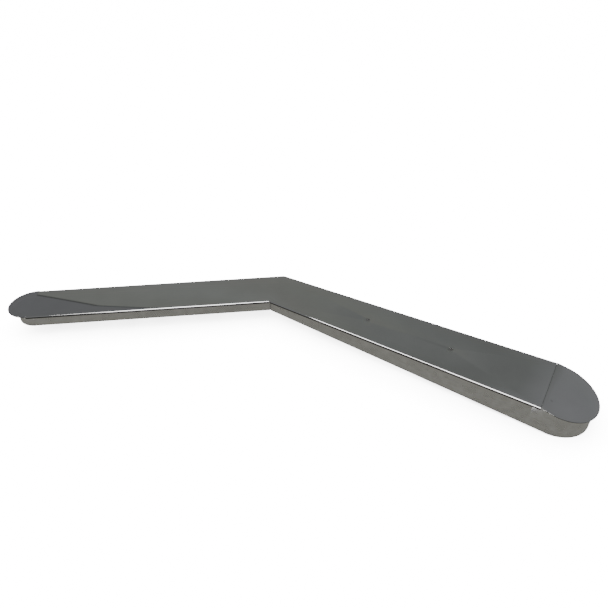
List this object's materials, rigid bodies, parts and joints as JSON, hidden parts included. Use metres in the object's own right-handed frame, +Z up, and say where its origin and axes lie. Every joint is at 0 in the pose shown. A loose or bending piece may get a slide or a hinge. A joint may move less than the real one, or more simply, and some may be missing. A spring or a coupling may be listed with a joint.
{
  "type": "running board",
  "caption": "Angled running board for a truck: a polished stainless deck on two legs that meet at a bend, with round ends. The long leg and its skirt grow wider and deeper towards their end.",
  "frame": {"origin": "midway between the two deck bolt holes, on the deck's top face", "axes": "+X along the long leg towards its drooping end, +Y towards the outside of the bend, +Z up and square to the deck"},
  "size_m": [1.7416, 0.6756, 0.0894],
  "materials": {
    "deck_stainless": "polished stainless steel sheet",
    "skirt_stainless": "satin stainless steel sheet",
    "inner_steel": "galvanised steel",
    "fastener_zinc": "zinc plated",
    "gasket_rubber": "matt black foam rubber"
  },
  "bodies": {
    "root": {"bend_gusset": "inner_steel", "cap_seam_strip": "inner_steel", "deck_plate": "deck_stainless", "deck_stud_nuts": "fastener_zinc", "deck_stud_washers": "fastener_zinc", "deck_weld_studs": "fastener_zinc", "end_stud_nuts": "fastener_zinc", "end_stud_washers": "fastener_zinc", "end_weld_studs": "fastener_zinc", "inside_corner_splice": "inner_steel", "long_end_cap": "deck_stainless", "long_end_web": "inner_steel", "long_leg_channel": "inner_steel", "long_leg_gasket": "gasket_rubber", "long_leg_rib_1": "inner_steel", "long_leg_rib_2": "inner_steel", "long_leg_rib_3": "inner_steel", "long_leg_rib_4": "inner_steel", "long_leg_skirt": "skirt_stainless", "mounting_stud_plate": "inner_steel", "mounting_studs": "fastener_zinc", "outside_corner_splice": "inner_steel", "short_end_web": "inner_steel", "short_leg_channel": "inner_steel", "short_leg_gasket": "gasket_rubber", "short_leg_rib_1": "inner_steel", "short_leg_rib_2": "inner_steel", "short_leg_rib_3": "inner_steel", "short_leg_rib_4": "inner_steel", "short_leg_skirt": "skirt_stainless"}
  },
  "joints": []
}
